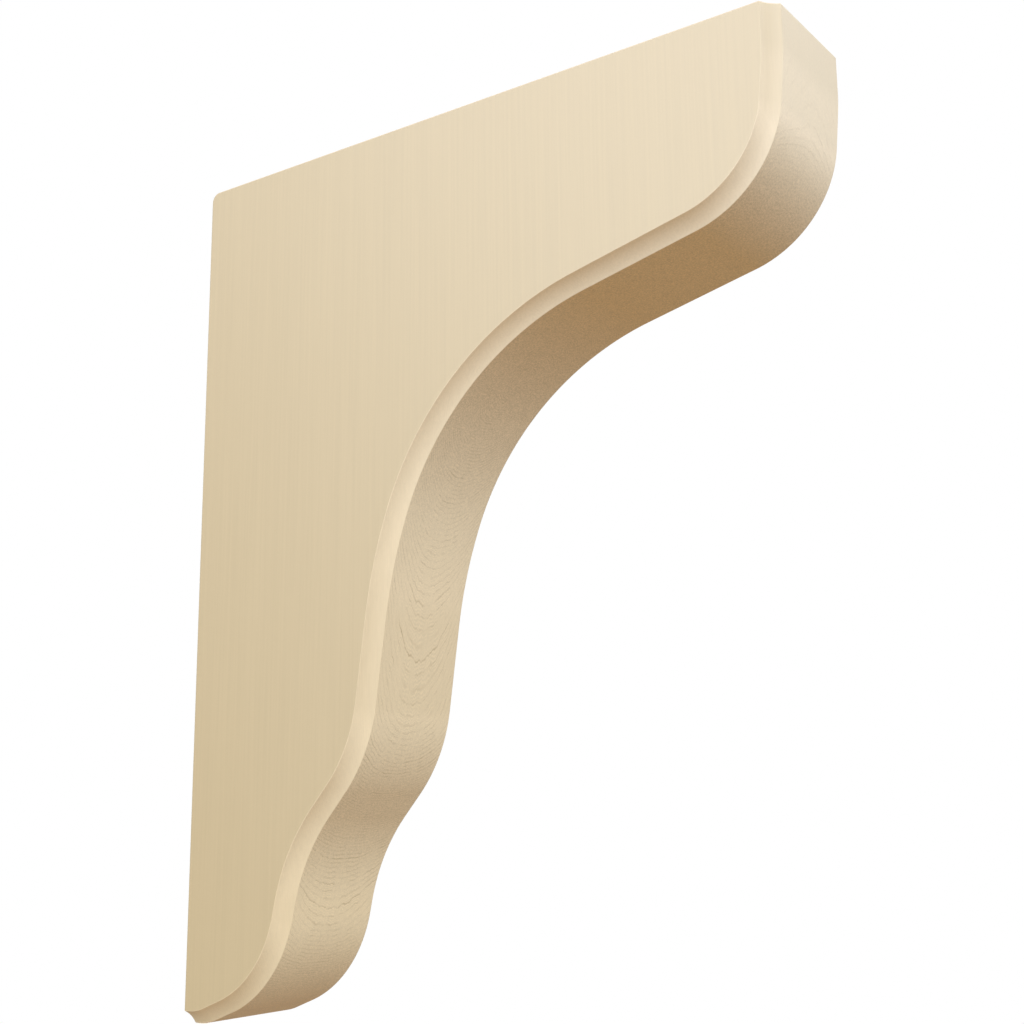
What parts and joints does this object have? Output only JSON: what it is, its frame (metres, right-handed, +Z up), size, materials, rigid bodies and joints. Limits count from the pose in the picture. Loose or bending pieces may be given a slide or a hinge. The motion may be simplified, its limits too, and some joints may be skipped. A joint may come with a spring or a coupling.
{
  "type": "wooden corbel bracket",
  "caption": "Wooden corbel bracket with a flat back and top, a scrolled front with a large hollow arch, and a cove run along both front edges.",
  "frame": {"origin": "middle of the flat back face, which stands against the wall", "axes": "+X across the thickness, +Y square into the wall, +Z up; the bracket projects from the wall towards -Y"},
  "size_m": [0.0444, 0.2032, 0.2666],
  "materials": {
    "wood": "bare sanded maple, satin, with fine straight grain on the sides and growth-ring arcs on the front"
  },
  "bodies": {
    "root": {"bracket": "wood"}
  },
  "joints": []
}
